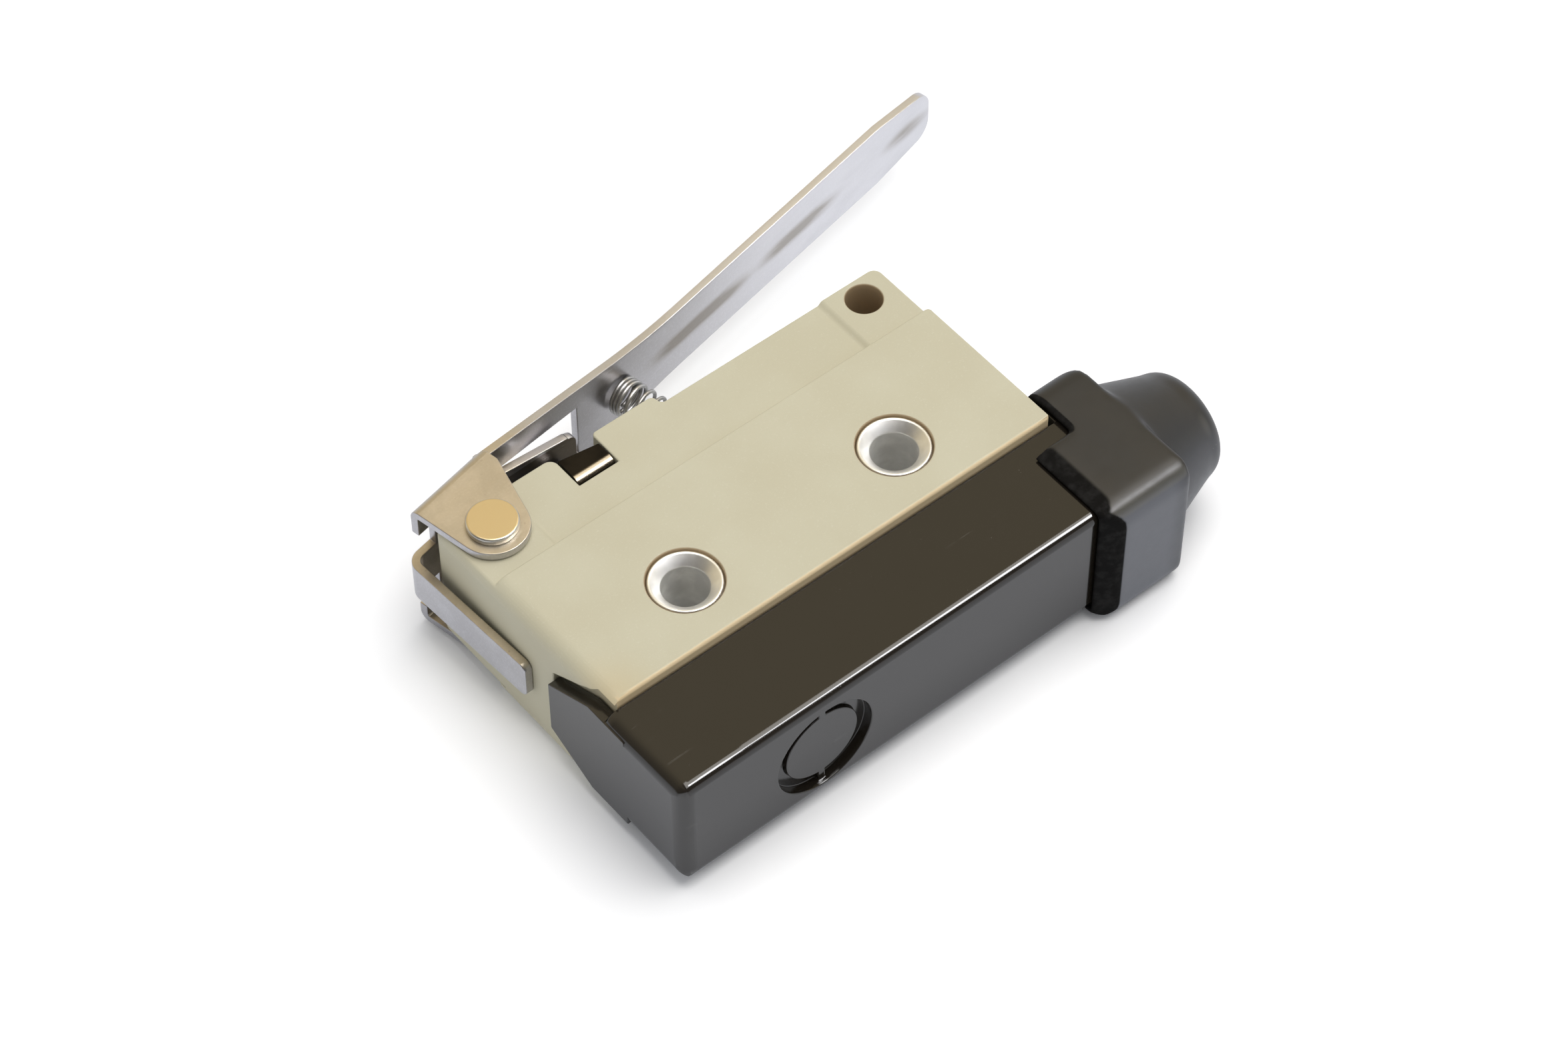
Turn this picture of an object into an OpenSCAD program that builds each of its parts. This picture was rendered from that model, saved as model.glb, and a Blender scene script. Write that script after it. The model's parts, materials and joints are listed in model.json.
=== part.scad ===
// Lever limit switch: moulded case, hinged sheet lever, plunger and snap contacts, terminal cover and cable boot.
// The origin is midway between the mounting holes on the back face. +X runs to the cable, +Z out of the front face.

/* [Case block] */
// Distance between the two mounting holes
hole_pitch = 25.4; // [24.4:0.1:27]
// Thickness from the back face to the front face
case_t = 17; // [16.4:0.1:19]
// Reach of the block to the left of the middle
block_left = 26.9; // [26.4:0.1:28.5]
// Reach of the block to the right of the middle
block_right = 26.5; // [26:0.1:27.5]
// Reach of the block below the hole line
block_low = 6.8; // [6.4:0.1:7.6]
// Reach of the block above the hole line
block_high = 11.1; // [10:0.1:12]
// Rounding of the block's left end
end_round = 1.8; // [0.5:0.1:2.2]
// Rounding of the block's long edges beside the cover
edge_round = 0.4; // [0.2:0.05:0.6]
// Rounding of the block's right corners
corner_round = 0.5; // [0.2:0.05:1]
// Wall of the case round its chamber
case_wall = 2.3; // [1.8:0.1:2.6]
// Top of the chamber above the hole line
chamber_high = 13; // [12.2:0.1:13.4]
// Wall of the bosses round the eyelets
boss_wall = 1.35; // [1.1:0.05:1.6]

/* [Case strip] */
// Drop from the front face to the strip
strip_drop = 1; // [0.7:0.1:1.6]
// Drop from the front face to the pads at the strip's ends
pad_drop = 0.6; // [0.3:0.1:0.9]
// Recess of the strip on the back face
strip_back = 2.1; // [1.9:0.1:2.5]
// Recess of the pads on the back face
pad_back = 1.7; // [1.65:0.05:2]
// Top of the strip on the hinge side
strip_hinge_y = 20.1; // [19.4:0.1:20.3]
// Top of the strip on the free side
strip_free_y = 18.8; // [18.2:0.1:19.2]
// Place along X where the strip's top drops
strip_drop_x = -0.7; // [-2:0.1:0]
// Strip's reach to the right of the middle
strip_right = 26.2; // [25.6:0.1:26.5]
// Inner edge of the pads from the middle
pad_in = 18.8; // [18.2:0.1:19.2]
// Rounding of the strip's corners
strip_round = 1; // [0.4:0.1:1.4]

/* [Notch and plunger] */
// Middle of the notch and of the plunger along X
notch_x = -10.55; // [-11.2:0.05:-10]
// Width of the notch
notch_w = 4.7; // [4.5:0.1:5.2]
// Floor of the notch above the hole line
notch_y = 15.8; // [15.5:0.1:16.2]
// Radius of the plunger's stem
plunger_r = 1.6; // [1.3:0.05:1.7]
// Radius of the plunger's collar and of the drive button
collar_r = 2.35; // [2.2:0.05:2.5]
// Height of the plunger's collar
collar_h = 1.2; // [0.8:0.1:1.5]
// Radius of the plunger's domed tip
dome_r = 3; // [2.4:0.1:5]
// Height of the rubber seal round the plunger
seal_h = 1; // [0.8:0.05:1.2]
// Thickness of the case between the seal and the collar
lip_h = 0.9; // [0.7:0.05:1.1]
// Height of the drive button
button_h = 0.9; // [0.7:0.05:1.1]
// Radius of the drive button's nose
nose_r = 0.8; // [0.6:0.05:1]
// Height of the drive button's nose
nose_h = 0.6; // [0.4:0.05:0.8]
// Radius of the spigots that centre the overtravel spring
spigot_r = 0.9; // [0.6:0.05:1]
// Height of the spigots that centre the overtravel spring
spigot_h = 1; // [0.6:0.05:1.1]
// Mean radius of the overtravel spring
over_r = 1.5; // [1.4:0.05:1.9]
// Wire of the overtravel spring
over_wire = 0.4; // [0.3:0.02:0.45]
// Turns of the overtravel spring
over_turns = 4.5; // [4:0.5:5]
// Wall of the sleeve that guides the button
sleeve_wall = 1.2; // [0.8:0.1:1.6]
// Slant of the guide saddle's top edge
saddle_tilt = -9.2; // [-10:0.1:-5]
// Thickness of the saddle's sheet
saddle_t = 0.9; // [0.6:0.05:1]
// Depth of the saddle's flanges
saddle_d = 3.2; // [2.6:0.1:3.4]
// Outer radius of the saddle's folds
saddle_fold = 1.3; // [1:0.1:1.6]

/* [Eyelets] */
// Radius of the eyelets' bore
eyelet_bore_r = 2.35; // [2.1:0.05:2.5]
// Wall of the eyelets' tube
eyelet_wall = 0.55; // [0.4:0.05:0.7]
// Radius of the eyelets' flanges
eyelet_flange_r = 3.62; // [3.4:0.02:4]
// Thickness of the eyelets' flanges
eyelet_flange_t = 0.7; // [0.5:0.05:0.9]
// Depth of the eyelets below the case's faces
eyelet_sink = 0.15; // [0.05:0.05:0.4]
// Rounding of the eyelets' outer rims
eyelet_lip = 0.2; // [0.1:0.05:0.3]
// Depth of the eyelets' flared mouths
eyelet_mouth = 0.75; // [0.6:0.05:0.9]
// Ledge inside the eyelets' flared mouths
eyelet_ledge = 0.12; // [0.06:0.02:0.2]

/* [Lever] */
// Pivot along X
pivot_x = -22.67; // [-23:0.01:-22.2]
// Pivot above the hole line
pivot_y = 16.31; // [16:0.01:16.6]
// Radius of the hinge pin
pin_r = 1.82; // [1.6:0.02:1.9]
// Radius of the hinge pin's heads
pin_head_r = 2.58; // [2.3:0.02:3]
// Thickness of the hinge pin's front head
pin_head_t = 0.75; // [0.5:0.05:0.9]
// Thickness of the hinge pin's back head
pin_foot_t = 0.6; // [0.4:0.05:0.65]
// Thickness of the lever's sheet
sheet_t = 0.9; // [0.7:0.05:0.95]
// Rest angle of the arm from the case
arm_tilt = 11.27; // [10.6:0.01:12]
// Distance of the arm's inner face from the pivot
arm_offset = 6.35; // [6.2:0.05:7]
// Length of the arm from the pivot
arm_length = 74.45; // [60:0.05:90]
// Width of the arm
arm_w = 8.1; // [7.4:0.1:9]
// Place along the arm where its taper ends
taper_end = 29.5; // [28:0.1:33]
// Half the growth of the arm's width per length of taper
taper_rate = 0.1756; // [0.15:0.001:0.18]
// Place along the arm where its tip starts to narrow
tip_start = 66; // [50:0.1:80]
// Half width of the narrowed tip
tip_half = 3.3; // [3:0.1:3.6]
// Rounding of the tip's corners
tip_round = 2.2; // [1:0.1:2.6]
// Radius of the ears' round end
ear_r = 3.6; // [3.3:0.05:4]
// Ears' reach along the arm, past the pivot
ear_reach = 6.2; // [5.8:0.1:6.6]
// Straight side of the ears below the arm
ear_side = 1.4; // [1:0.1:1.8]
// Rounding of the ears' and the tongue's corners
sheet_round = 1; // [0.5:0.1:1.2]
// Width of the tail that stops the lever
tail_w = 4.6; // [4:0.1:5.4]
// Where the tail ends above the hole line
tail_y = 5.2; // [4.6:0.1:5.8]
// Width of the slots beside the tail
tail_slot = 3.2; // [2.4:0.1:3.4]
// Lean of the tail from the case's end
tail_lean = 3.3; // [2:0.1:4]
// Rounding of the tail's corners
tail_round = 1; // [0.5:0.1:1.4]
// Place along X where the tongue leaves the arm
tongue_root_x = -20.05; // [-20.4:0.05:-19.6]
// Place along X where the tongue ends
tongue_end_x = -7.4; // [-8:0.1:-7]
// Tilt of the tongue from the case's top
tongue_tilt = 1.8; // [1:0.1:3]
// Half width of the tongue at its root
tongue_root_half = 5.15; // [4.8:0.05:5.4]
// Half width of the tongue at its end
tongue_end_half = 3.4; // [3:0.05:3.6]
// Length of the window past the tongue's end
window_gap = 2; // [1.6:0.1:2.6]

/* [Return spring] */
// Place along X of the spring's seat on the strip
spring_x = 2.42; // [2:0.01:3]
// Mean radius of the return spring
spring_r = 1.9; // [1.8:0.05:2.2]
// Wire of the return spring
spring_wire = 0.4; // [0.34:0.02:0.44]
// Turns of the return spring
spring_turns = 8.5; // [7:0.5:9]
// Closed turns of the return spring at the arm
spring_closed = 3; // [1:0.5:4]

/* [Contacts] */
// Moving and fixed contacts along X
contact_x = 4; // [3.6:0.1:4.4]
// Underside of the moving blade above the hole line
blade_y = 6; // [5.8:0.05:6.2]
// Thickness of the blade
blade_t = 0.25; // [0.2:0.01:0.3]
// Width of the blade
blade_w = 5; // [4.4:0.1:5.4]
// Common terminal's post along X
common_x = -20.5; // [-20.9:0.1:-20.1]
// Normally closed terminal's post along X
closed_x = 19.5; // [19.2:0.1:20]
// Thickness of the terminals' strap
strap_t = 0.8; // [0.6:0.05:0.9]
// Width of the terminals' strap
strap_w = 4.6; // [4:0.1:5]
// Radius of the contact buttons
contact_r = 1.25; // [1:0.05:1.4]
// Height of the fixed contact buttons
contact_h = 0.55; // [0.4:0.05:0.6]
// Open distance between the moving and the normally open contact
contact_gap = 0.95; // [0.95:0.01:1.05]
// Left end of the bowed snap spring along X
snap_left = -7; // [-7.4:0.1:-6]
// Right end of the bowed snap spring along X
snap_right = 1.4; // [0.8:0.1:1.8]
// Thickness of the snap spring
snap_t = 0.2; // [0.15:0.01:0.25]
// Width of the snap spring
snap_w = 2.4; // [2:0.1:2.8]
// Bow of the snap spring below the blade's top
snap_bow = 1.5; // [1.2:0.05:1.8]

/* [Terminals] */
// Thickness of the terminal base
base_t = 1.9; // [1.5:0.1:2]
// Distance of each terminal screw from its post
screw_reach = 4.5; // [4:0.1:4.6]
// Length of the terminals' feet
foot_l = 8.6; // [8.2:0.1:9]
// Width of the terminals' feet
foot_w = 7.6; // [7:0.1:8]
// Radius of the terminal screws' thread
screw_r = 1.45; // [1.2:0.05:1.6]
// Radius of the terminal screws' heads
screw_head_r = 2.7; // [2.5:0.05:2.9]
// Height of the terminal screws' heads
screw_head_h = 1.8; // [1.4:0.1:2]
// Width of the terminal screws' slot
slot_w = 0.7; // [0.5:0.05:0.9]
// Depth of the terminal screws' slot
slot_d = 0.9; // [0.6:0.05:1]

/* [Terminal cover] */
// Front of the cover below the hole line
cover_low = 18.2; // [17.4:0.1:19]
// Recess of the cover's front from the case's
cover_inset = 1; // [0.8:0.05:1.2]
// Clearance of the cover above the back face
cover_lift = 1.75; // [1.6:0.05:2]
// Cover's reach past the case's left end
cover_proud = 0.8; // [0.6:0.05:1]
// Cover's reach to the right of the middle
cover_right = 31; // [30.4:0.1:31.4]
// Wall of the cover
cover_wall = 1.6; // [1.3:0.05:1.8]
// Rounding of the cover's front edges
cover_round = 1; // [0.5:0.1:1.4]
// Rounding of the cover's left end
cover_end_round = 1.6; // [0.8:0.1:2]
// Top of the cover's neck below the hole line
neck_y = 4.6; // [4.2:0.1:5]
// Top of the end flange above the hole line
flange_y = 1.75; // [1.2:0.05:2]
// Half width of the end flange's top
flange_half = 3.4; // [2.8:0.1:3.8]
// Half width of the end flange where its sides start to slant
flange_low_half = 6.5; // [6:0.1:6.7]
// Thickness of the end flange
flange_t = 1.5; // [1.2:0.05:1.6]
// Gap beside the end flange's top in the case's recess
recess_gap = 0.8; // [0.4:0.1:1]
// Gap beside the end flange's foot in the case's recess
recess_low_gap = 1.5; // [0.8:0.1:1.6]
// Where the end flange's sides start to slant, below the hole line
flange_slant_y = 4.4; // [4:0.1:4.8]
// Knock-out's place along X
knock_x = -10.85; // [-14:0.05:-6]
// Outer radius of the knock-out's groove
knock_r = 5.6; // [5:0.05:5.8]
// Radius of the knock-out's disc
knock_disc_r = 4.28; // [3.8:0.02:4.5]
// Recess of the knock-out's disc
knock_sink = 0.5; // [0.3:0.05:0.7]
// Width of the two bridges that hold the knock-out's disc
knock_bridge = 0.8; // [0.5:0.1:1.2]
// Depth of the knock-out's groove
knock_depth = 1.1; // [0.8:0.05:1.2]

/* [Cable boot] */
// Boot's rim along X
boot_left = 22.1; // [21.4:0.1:23]
// Length of the slant at the boot's rim
rim_slant = 2.1; // [1.4:0.1:2.6]
// Blunt edge of the boot's rim on the cover
rim_lip = 0.4; // [0.3:0.05:0.5]
// Shoulder of the boot along X
boot_right = 33; // [32.6:0.1:33.8]
// Boot's wall in front of the cover
boot_wall = 1.9; // [1.6:0.1:2.2]
// Top of the boot's hood below the hole line
hood_y = 2.4; // [2:0.1:2.8]
// Step from the case's underside to the boot's rim
boot_step = 2.4; // [1.8:0.1:3]
// Rounding of the boot's long edges
boot_round = 2.4; // [1.4:0.1:2.8]
// Boot's clearance above the back face
boot_rise = 0.1; // [0.05:0.05:0.3]
// Nozzle's axis below the hole line
nozzle_y = 10.46; // [10.2:0.02:10.8]
// Radius of the nozzle at the shoulder
nozzle_base_r = 8.3; // [7.8:0.05:8.35]
// Radius of the nozzle at its end
nozzle_end_r = 5.28; // [5:0.02:6]
// Length of the nozzle
nozzle_l = 8.72; // [7:0.02:12]
// Rounding of the nozzle's end
nozzle_round = 2.1; // [0.5:0.1:2.3]
// Radius of the cable hole
cable_r = 3; // [2.4:0.1:3.2]

/* [Clearances] */
// Gap between parts that move past each other
run_gap = 0.15; // [0.12:0.01:0.2]
// Gap between parts that sit in each other
seat_gap = 0.1; // [0.06:0.01:0.14]
// Radial clearance of pins and the plunger
fit_gap = 0.06; // [0.03:0.01:0.08]
// Gap between parts that press on each other at rest
touch_gap = 0.05; // [0.03:0.01:0.06]
// Radial clearance of the pin in the lever's ears
rivet_gap = 0.02; // [0.01:0.005:0.03]

/* [Hidden] */
$fn = 48;
// Overcut that keeps cuts clear of the faces they open
cut = 0.5;
mid_z = case_t / 2;
strip_top = case_t - strip_drop;
pad_top = case_t - pad_drop;

// Levels of the lever's ears
ear_top = pad_top + run_gap + sheet_t;
ear_low = pad_back - run_gap - sheet_t;
hole_r = pin_r + fit_gap;

// Plunger stack, from the tongue down to the blade
tongue_y = pivot_y + (arm_offset + (tongue_root_x - pivot_x) * sin(arm_tilt)) / cos(arm_tilt);
plunger_tip = tongue_y + (notch_x - tongue_root_x) * tan(tongue_tilt) + dome_r
    - (dome_r + touch_gap) / cos(tongue_tilt);
bore_top = notch_y - seal_h - lip_h;
collar_top = bore_top - touch_gap;
collar_y = collar_top - collar_h;
button_low = blade_y + blade_t + touch_gap;
button_y = button_low + nose_h;
button_top = button_y + button_h;
sleeve_low = button_y + seat_gap;
sleeve_r = collar_r + fit_gap;

// Chamber in the case, open towards the cover
chamber_left = -block_left + case_wall;
chamber_right = block_right - case_wall;
chamber_back = case_wall;
chamber_front = case_t - case_wall;
boss_r = eyelet_bore_r + eyelet_wall + seat_gap + boss_wall;

// Contact levels
closed_face = blade_y + blade_t + contact_h + touch_gap;
open_face = blade_y - contact_h - contact_gap;
hinge_y = blade_y - touch_gap - strap_t / 2;
foot_y = -block_low - strap_t;

// Cover levels
cover_back = cover_lift;
cover_front = case_t - cover_inset;
cover_left = -block_left - cover_proud;
cover_top = -block_low - run_gap;
recess_x = cover_left + flange_t + run_gap;
neck_left = block_right + 3 * run_gap;
boot_low = -cover_low - boot_wall;
boot_back = boot_rise;
boot_front = case_t - boot_rise;
rim_lip_y = -cover_low - rim_lip;
boot_step_x = neck_left;
boot_step_y = -block_low - boot_step;

// Tail of the lever: it just clears the case's end wall where it ends
bend_r = 2 * sheet_t;
bend_in = bend_r - sheet_t;
tail_turn = 90 - arm_tilt + tail_lean;
bend_v = arm_offset + sheet_t - bend_r;
bend_x = pivot_x - bend_v * sin(arm_tilt);
bend_y = pivot_y + bend_v * cos(arm_tilt);
bend_u = (-block_left - touch_gap - bend_x + bend_in * cos(tail_lean)
    - tan(tail_lean) * (bend_y - bend_in * sin(tail_lean) - tail_y))
    / (cos(arm_tilt) + tan(tail_lean) * sin(arm_tilt));
tail_run = (bend_y + bend_u * sin(arm_tilt) - bend_in * sin(tail_lean) - tail_y) / cos(tail_lean);
tail_0 = mid_z - tail_w / 2;
tail_1 = mid_z + tail_w / 2;

// Window that the tongue is cut from, along the arm; it starts within the sheet at the tongue's bend
window_start = (tongue_root_x - pivot_x + arm_offset * sin(arm_tilt)) / cos(arm_tilt) + sheet_t / 3;
window_end = window_start + tongue_end_x - tongue_root_x + window_gap;

// Straight solid between two corners
module slab(a, b) {
    translate(a) cube(b - a);
}

// Flat rectangle between two corners
module bar(x0, x1, y0, y1) {
    translate([x0, y0]) square([x1 - x0, y1 - y0]);
}

// Flat rectangle with round corners
module soft_bar(x0, x1, y0, y1, r) {
    bar(x0 + r, x1 - r, y0, y1);
    bar(x0, x1, y0 + r, y1 - r);
    for (x = [x0 + r, x1 - r], y = [y0 + r, y1 - r]) translate([x, y]) circle(r);
}

// Corner piece to cut away so that a square corner at x, y becomes round; sx and sy point out of the corner
module nip(x, y, r, sx, sy) {
    difference() {
        bar(min(x - sx * r, x + sx), max(x - sx * r, x + sx), min(y - sy * r, y + sy), max(y - sy * r, y + sy));
        translate([x - sx * r, y - sy * r]) circle(r);
    }
}

// Piece to add so that an inner corner at x, y becomes round; sx and sy point into the open side
module fill(x, y, r, sx, sy) {
    difference() {
        bar(min(x, x + sx * r), max(x, x + sx * r), min(y, y + sy * r), max(y, y + sy * r));
        translate([x + sx * r, y + sy * r]) circle(r);
    }
}

// Extrusion of a Y-Z outline along X
module along_x(x0, x1) {
    translate([x0, 0, 0]) rotate([90, 0, 90]) linear_extrude(x1 - x0) children();
}

// Extrusion of an X-Z outline along Y
module along_y(y0, y1) {
    translate([0, y1, 0]) rotate([90, 0, 0]) linear_extrude(y1 - y0) children();
}

// Extrusion of an X-Y outline along Z
module along_z(z0, z1) {
    translate([0, 0, z0]) linear_extrude(z1 - z0) children();
}

// Round rod along Y
module rod_y(x, y0, y1, r) {
    translate([x, y0, mid_z]) rotate([-90, 0, 0]) cylinder(h = y1 - y0, r = r);
}

// Round rod along Z
module rod_z(x, y, z0, z1, r) {
    translate([x, y, z0]) cylinder(h = z1 - z0, r = r);
}

// The pivot's frame: first axis along the arm, second away from the case
module arm_frame() {
    translate([pivot_x, pivot_y, 0]) rotate(arm_tilt) children();
}

// Coil spring along Z from its lowest to its highest wire centre, with one closed turn below and some above
module coil(r, wire, turns, height, above) {
    sides = 8;
    per_turn = 20;
    count = round(turns * per_turn);
    closed = wire * 1.08;
    pitch = (height - (1 + above) * closed) / (turns - 1 - above);
    function rise(n) = n < 1 ? n * closed
        : n > turns - above ? height - (turns - n) * closed
        : closed + (n - 1) * pitch;
    points = [for (i = [0:count], j = [0:sides - 1])
        let (n = i / per_turn, a = 360 * n, b = 360 * j / sides, q = r + wire / 2 * cos(b))
        [q * cos(a), q * sin(a), rise(n) + wire / 2 * sin(b)]];
    skin = [for (i = [0:count - 1], j = [0:sides - 1], half = [0, 1])
        let (k = (j + 1) % sides, p = i * sides, s = p + sides)
        half == 0 ? [p + j, p + k, s + k] : [p + j, s + k, s + j]];
    start = [for (j = [0:sides - 1]) sides - 1 - j];
    end = [for (j = [0:sides - 1]) count * sides + j];
    polyhedron(points, concat([start], skin, [end]));
}

// Outline of the block with its right corners rounded
module block_outline() {
    difference() {
        bar(-block_left, block_right, -block_low, block_high);
        nip(block_right, -block_low, corner_round, 1, -1);
        nip(block_right, block_high, corner_round, 1, 1);
    }
}

// Outline of the strip with its drop, its rounded corners and the plunger's notch
module strip_outline() {
    notch_left = notch_x - notch_w / 2;
    notch_right = notch_x + notch_w / 2;
    drop_round = (strip_hinge_y - strip_free_y) / 2;
    difference() {
        union() {
            bar(-block_left, strip_drop_x, block_high - cut, strip_hinge_y);
            bar(-block_left, strip_right, block_high - cut, strip_free_y);
            fill(strip_drop_x, strip_free_y, drop_round, 1, 1);
        }
        bar(notch_left, notch_right, notch_y, strip_hinge_y + cut);
        nip(-block_left, strip_hinge_y, strip_round, -1, 1);
        nip(strip_right, strip_free_y, strip_round, 1, 1);
        nip(strip_drop_x, strip_hinge_y, drop_round, 1, 1);
        nip(notch_left, strip_hinge_y, strip_round, 1, 1);
        nip(notch_right, strip_hinge_y, strip_round / 2, -1, 1);
    }
}

// Outline of the cover's end flange, with gaps beside its foot and beside and over its top
module flange_outline(foot_gap, top_gap, over) {
    root = -block_low - 2 * flange_t;
    foot = flange_low_half + foot_gap;
    top = flange_half + top_gap;
    translate([0, mid_z]) polygon([[root, -foot], [-flange_slant_y, -foot], [flange_y + over, -top],
        [flange_y + over, top], [-flange_slant_y, foot], [root, foot]]);
}

module case() {
    color([0.80, 0.78, 0.67]) difference() {
        intersection() {
            union() {
                intersection() {
                    along_z(0, case_t) block_outline();
                    along_x(-block_left - cut, block_right + cut) difference() {
                        bar(-block_low, block_high, 0, case_t);
                        nip(-block_low, case_t, edge_round, -1, 1);
                        nip(-block_low, 0, edge_round, -1, -1);
                    }
                }
                along_z(strip_back, strip_top) strip_outline();
                along_z(pad_back, pad_top) intersection() {
                    strip_outline();
                    union() {
                        bar(-block_left - cut, -pad_in, 0, strip_hinge_y + cut);
                        bar(pad_in, strip_right + cut, 0, strip_hinge_y + cut);
                    }
                }
            }
            along_y(-block_low - cut, strip_hinge_y + cut) difference() {
                bar(-block_left, block_right, 0, case_t);
                nip(-block_left, case_t, end_round, -1, 1);
                nip(-block_left, 0, end_round, -1, -1);
            }
        }
        difference() {
            slab([chamber_left, -block_low - cut, chamber_back], [chamber_right, chamber_high, chamber_front]);
            for (s = [-1, 1]) rod_z(s * hole_pitch / 2, 0, 0, case_t, boss_r);
            rod_y(notch_x, sleeve_low, chamber_high + cut, sleeve_r + sleeve_wall);
        }
        along_x(-block_left - cut, recess_x) flange_outline(recess_low_gap, recess_gap, run_gap);
        for (s = [-1, 1]) {
            rod_z(s * hole_pitch / 2, 0, -cut, case_t + cut, eyelet_bore_r + eyelet_wall + seat_gap / 2);
            for (z = [-cut, case_t - eyelet_sink - eyelet_flange_t - seat_gap])
                rod_z(s * hole_pitch / 2, 0, z, z + cut + eyelet_sink + eyelet_flange_t + seat_gap,
                    eyelet_flange_r + run_gap);
            rod_z(s * pivot_x, pivot_y, 0, case_t, hole_r);
        }
        rod_y(notch_x, sleeve_low - cut, bore_top, sleeve_r);
        rod_y(notch_x, bore_top - cut, notch_y + cut, plunger_r + fit_gap);
        rod_y(notch_x, notch_y - seal_h, notch_y + cut, collar_r);
    }
}

// Rolled tube with a flange at each face, flared at the front where it was set
module eyelet(x) {
    top = case_t - eyelet_sink;
    foot = top - eyelet_mouth;
    rim = eyelet_flange_r - eyelet_lip;
    color([0.78, 0.79, 0.80]) translate([x, 0, 0]) rotate_extrude() difference() {
        union() {
            bar(eyelet_bore_r, eyelet_bore_r + eyelet_wall, eyelet_sink, top);
            for (z = [eyelet_sink, top - eyelet_flange_t])
                bar(eyelet_bore_r, eyelet_flange_r, z, z + eyelet_flange_t);
        }
        nip(eyelet_flange_r, top, eyelet_lip, 1, 1);
        nip(eyelet_flange_r, eyelet_sink, eyelet_lip, 1, -1);
        nip(eyelet_bore_r, eyelet_sink, eyelet_lip, -1, -1);
        polygon([[0, top + cut], [0, foot], [eyelet_bore_r + eyelet_ledge, foot], [rim, top], [rim, top + cut]]);
    }
}

module eyelet_left() { eyelet(-hole_pitch / 2); }
module eyelet_right() { eyelet(hole_pitch / 2); }

// Outside of the cover without its end flange
module cover_shell() {
    intersection() {
        along_x(cover_left, cover_right) difference() {
            bar(-cover_low, -neck_y, cover_back, cover_front);
            nip(-cover_low, cover_front, cover_round, -1, 1);
            nip(-cover_low, cover_back, cover_round, -1, -1);
        }
        along_z(cover_back, cover_front) difference() {
            union() {
                bar(cover_left, cover_right, -cover_low, cover_top);
                bar(neck_left, cover_right, -cover_low, -neck_y);
            }
            nip(cover_left, -cover_low, cover_end_round, -1, -1);
        }
        along_y(-cover_low, -neck_y) difference() {
            bar(cover_left, cover_right, cover_back, cover_front);
            nip(cover_left, cover_front, cover_end_round, -1, 1);
            nip(cover_left, cover_back, cover_end_round, -1, -1);
        }
    }
}

// Disc of the knock-out, set back in a groove and held by two bridges
module knock_out_cut() {
    floor = -cover_low + knock_depth;
    difference() {
        rod_y(knock_x, -cover_low - cut, floor, knock_r);
        rod_y(knock_x, -cover_low + knock_sink, floor + cut, knock_disc_r);
        slab([knock_x - knock_bridge / 2, -cover_low + knock_sink, mid_z - knock_r - cut],
            [knock_x + knock_bridge / 2, floor + cut, mid_z + knock_r + cut]);
    }
}

module terminal_cover() {
    color([0.10, 0.09, 0.08]) difference() {
        union() {
            cover_shell();
            along_x(cover_left, cover_left + flange_t) flange_outline(0, 0, 0);
        }
        slab([cover_left + cover_wall, -cover_low + cover_wall, cover_back + cover_wall],
            [cover_right - cover_wall, -neck_y - cover_wall, cover_front - cover_wall]);
        slab([cover_left + cover_wall, -cover_low + cover_wall, cover_back + cover_wall],
            [neck_left, cover_top + cut, cover_front - cover_wall]);
        translate([cover_right - cover_wall - cut, -nozzle_y, mid_z]) rotate([0, 90, 0])
            cylinder(h = cover_wall + 2 * cut, r = cable_r + seat_gap);
        knock_out_cut();
    }
}

// Sides of the boot in plan, with the slanted rim on its front wall
module boot_outline() {
    difference() {
        union() {
            bar(boot_left, boot_right, boot_low, boot_step_y);
            bar(boot_step_x, boot_right, boot_low, -hood_y);
        }
        nip(boot_right, -hood_y, boot_round, 1, 1);
        nip(boot_right, boot_low, boot_round / 3, 1, -1);
        polygon([[boot_left - cut, rim_lip_y], [boot_left, rim_lip_y], [boot_left + rim_slant, boot_low],
            [boot_left + rim_slant, boot_low - cut], [boot_left - cut, boot_low - cut]]);
    }
}

// Sides of the boot seen from its front wall, with the slanted rim at the case's front and back
module boot_section() {
    slant = boot_left + rim_slant;
    polygon([[boot_left, cover_back - rim_lip], [slant, boot_back], [boot_right, boot_back],
        [boot_right, boot_front], [slant, boot_front], [boot_left, cover_front + rim_lip]]);
}

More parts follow.
